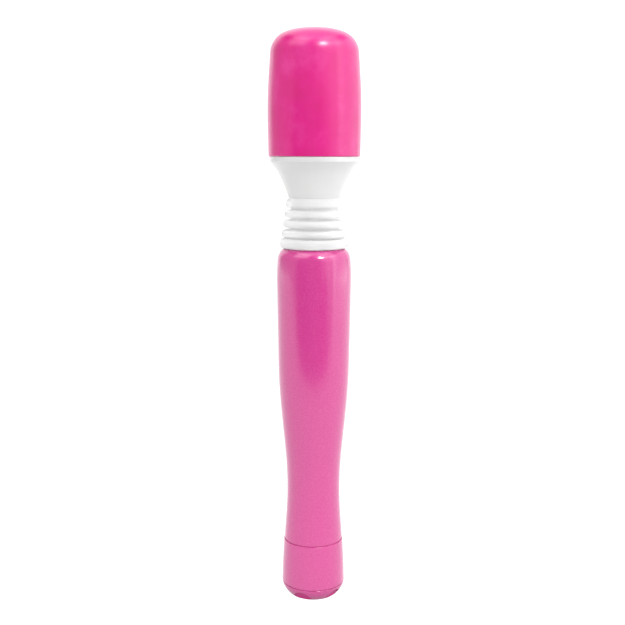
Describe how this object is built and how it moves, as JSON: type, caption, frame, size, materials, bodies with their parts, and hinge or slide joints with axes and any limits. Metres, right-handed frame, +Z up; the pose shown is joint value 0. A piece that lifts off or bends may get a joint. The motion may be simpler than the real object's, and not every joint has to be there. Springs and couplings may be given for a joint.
{
  "type": "handheld wand massager",
  "caption": "Battery handheld wand massager: soft rounded vibrating head on a sprung ribbed neck, hourglass handle, screw-off end cap and scalloped speed dial.",
  "frame": {"origin": "centre of the dial's flat bottom, where the wand stands upright", "axes": "+Z up along the wand towards the head; -Y is the side seen first, +X to its right"},
  "size_m": [0.0336, 0.0336, 0.2097],
  "materials": {
    "soft_pink": "satin",
    "pearl_pink": "pearlescent",
    "white_shell": "gloss",
    "milky_elastomer": "translucent satin",
    "inner_plastic": "matte",
    "black_rubber": "matte",
    "steel": "brushed",
    "contact_brass": "satin",
    "cell_jacket": "satin",
    "copper_wire": "enamelled",
    "magnet": "matte",
    "red_insulation": "satin",
    "black_insulation": "satin",
    "board": "satin"
  },
  "bodies": {
    "handle": {"handle_shell": "pearl_pink", "battery_tube": "inner_plastic", "neck_base": "white_shell", "positive_contact": "contact_brass", "return_strip": "contact_brass", "battery_lower": "cell_jacket", "battery_upper": "cell_jacket"},
    "neck": {"neck_bellows": "milky_elastomer", "neck_spring": "steel", "lead_positive": "red_insulation", "lead_negative": "black_insulation"},
    "head": {"head_cup": "white_shell", "head_shell": "inner_plastic", "head_cap": "soft_pink", "motor_can": "steel", "motor_end_bell": "inner_plastic", "motor_bushing": "contact_brass", "motor_mount": "black_rubber", "motor_magnets": "magnet", "motor_terminals": "contact_brass", "motor_brushes": "contact_brass"},
    "rotor": {"motor_shaft": "steel", "motor_commutator": "copper_wire", "eccentric_weight": "steel", "motor_armature": "steel", "motor_windings": "copper_wire"},
    "seal": {"seal_ring": "black_rubber"},
    "end_cap": {"cap_shell": "pearl_pink", "cap_insert": "inner_plastic", "contact_ring": "contact_brass", "control_board": "board", "speed_control": "black_insulation", "battery_spring": "steel"},
    "dial": {"control_shaft": "steel", "speed_dial": "pearl_pink"}
  },
  "joints": [
    {"name": "neck_side", "type": "hinge", "parent": "handle", "child": "neck", "pos_m": [0, 0, 0.1369], "axis": [0, 1, 0], "range_deg": [-12, 12], "stiffness_Nm_per_rad": 0.6, "deforming": ["neck_bellows", "neck_spring", "lead_positive", "lead_negative"]},
    {"name": "neck_front", "type": "hinge", "parent": "neck", "child": "head", "pos_m": [0, 0, 0.1457], "axis": [1, 0, 0], "range_deg": [-12, 12], "stiffness_Nm_per_rad": 0.6, "deforming": ["neck_bellows", "neck_spring", "lead_positive", "lead_negative"]},
    {"name": "motor_spin", "type": "hinge", "parent": "head", "child": "rotor", "pos_m": [0, 0, 0.185], "axis": [0, 0, 1], "continuous": true},
    {"name": "cap_travel", "type": "slide", "parent": "handle", "child": "seal", "axis": [0, 0, -1], "range_m": [0, 0.0075]},
    {"name": "cap_turn", "type": "hinge", "parent": "seal", "child": "end_cap", "pos_m": [0, 0, 0.0222], "axis": [0, 0, -1], "range_deg": [0, 1080]},
    {"name": "dial_turn", "type": "hinge", "parent": "end_cap", "child": "dial", "pos_m": [0, 0, 0.005], "axis": [0, 0, 1], "range_deg": [0, 270]}
  ],
  "couplings": [
    {"joint": "cap_travel", "follows": "cap_turn", "m_per_rad": 0.00039788}
  ]
}
